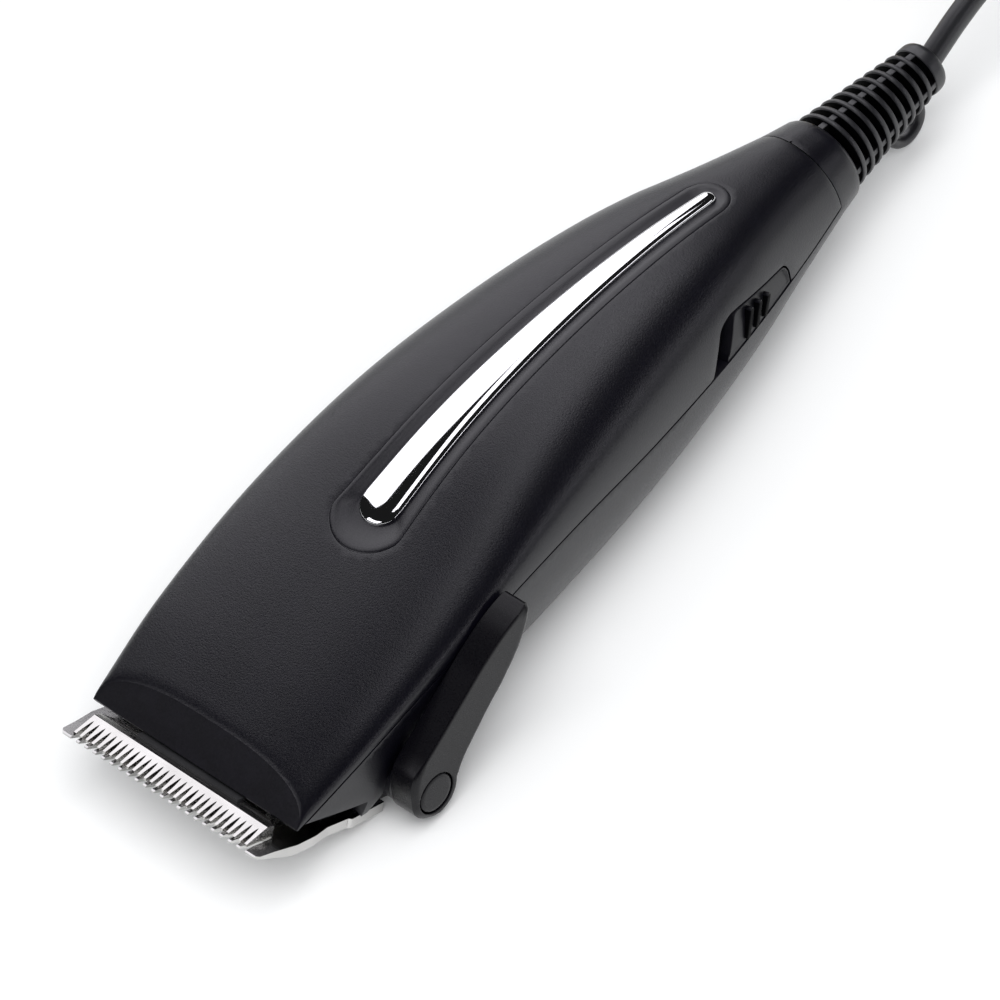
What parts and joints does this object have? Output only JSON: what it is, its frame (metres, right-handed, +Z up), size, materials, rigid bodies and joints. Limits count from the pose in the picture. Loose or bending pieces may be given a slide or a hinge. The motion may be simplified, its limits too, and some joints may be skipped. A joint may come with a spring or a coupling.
{
  "type": "hair clipper",
  "caption": "Corded hair clipper with a toothed comb and cutter, side taper lever, side slide switch, chrome trim strip, strain relief and a coiled mains cord.",
  "frame": {"origin": "on the flat belly that the clipper rests on, in its middle plane", "axes": "+Y from the blades to the cord, +X towards the taper lever's side, +Z up"},
  "size_m": [0.0786, 0.3265, 0.0368],
  "materials": {
    "shell_black": "fine spark-eroded texture, charcoal black",
    "panel_black": "satin moulded, charcoal black",
    "chrome_trim": "mirror plated",
    "comb_steel": "ground and polished",
    "cutter_steel": "ground and polished",
    "lever_black": "satin moulded, dark grey",
    "switch_black": "satin moulded, black",
    "rubber_black": "soft moulded, black",
    "inner_plastic": "plain moulded, natural",
    "inner_black": "plain moulded, black",
    "bright_steel": "zinc plated",
    "core_steel": "laminated electrical steel",
    "copper_wire": "enamelled copper winding",
    "wire_blue": "wire insulation, blue",
    "wire_brown": "wire insulation, brown",
    "plug_brass": "plain brass"
  },
  "bodies": {
    "housing": {"top_shell": "shell_black", "bottom_shell": "shell_black", "trim_panel": "panel_black", "chrome_strip": "chrome_trim", "switch_body": "inner_plastic", "motor_core": "core_steel", "coil_bobbin": "inner_plastic", "coil_winding": "copper_wire", "arm_axle": "bright_steel", "core_screws": "bright_steel", "housing_screws": "bright_steel", "neutral_wire": "wire_blue", "live_wire": "wire_brown", "coil_wire": "wire_brown", "strain_relief": "rubber_black", "cord": "rubber_black", "cord_coil": "rubber_black", "cord_tail": "rubber_black", "cord_tie": "inner_black", "plug_body": "rubber_black", "plug_blades": "plug_brass"},
    "lever": {"taper_lever": "lever_black", "lever_cap": "lever_black", "lever_shaft": "bright_steel"},
    "comb": {"comb_blade": "comb_steel", "blade_carrier": "inner_black", "blade_screws": "bright_steel", "comb_link": "bright_steel", "tension_spring": "bright_steel"},
    "cutter": {"cutter_blade": "cutter_steel", "cutter_follower": "inner_black"},
    "arm": {"drive_arm": "inner_plastic", "armature": "core_steel", "armature_rivets": "bright_steel"},
    "switch": {"switch_slider": "switch_black"}
  },
  "joints": [
    {"name": "lever_turn", "type": "hinge", "parent": "housing", "child": "lever", "pos_m": [0.03, -0.0276, 0.0064], "axis": [1, 0, 0], "range_deg": [-30, 6]},
    {"name": "comb_slide", "type": "slide", "parent": "housing", "child": "comb", "axis": [0, -0.8846, 0.4664], "range_m": [-0.0002, 0.001]},
    {"name": "arm_swing", "type": "hinge", "parent": "housing", "child": "arm", "pos_m": [0, 0.048, 0.0197], "axis": [0, 0, 1], "range_deg": [-0.5, 1], "stiffness_Nm_per_rad": 0.3},
    {"name": "cutter_slide", "type": "slide", "parent": "housing", "child": "cutter", "axis": [1, 0, 0], "range_m": [-0.001, 0.0018]},
    {"name": "switch_slide", "type": "slide", "parent": "housing", "child": "switch", "axis": [0.2226, -0.9658, 0.1328], "range_m": [0, 0.0032]}
  ],
  "couplings": [
    {"joint": "lever_turn", "follows": "comb_slide", "rad_per_m": -523.56},
    {"joint": "cutter_slide", "follows": "arm_swing", "m_per_rad": 0.09134}
  ]
}
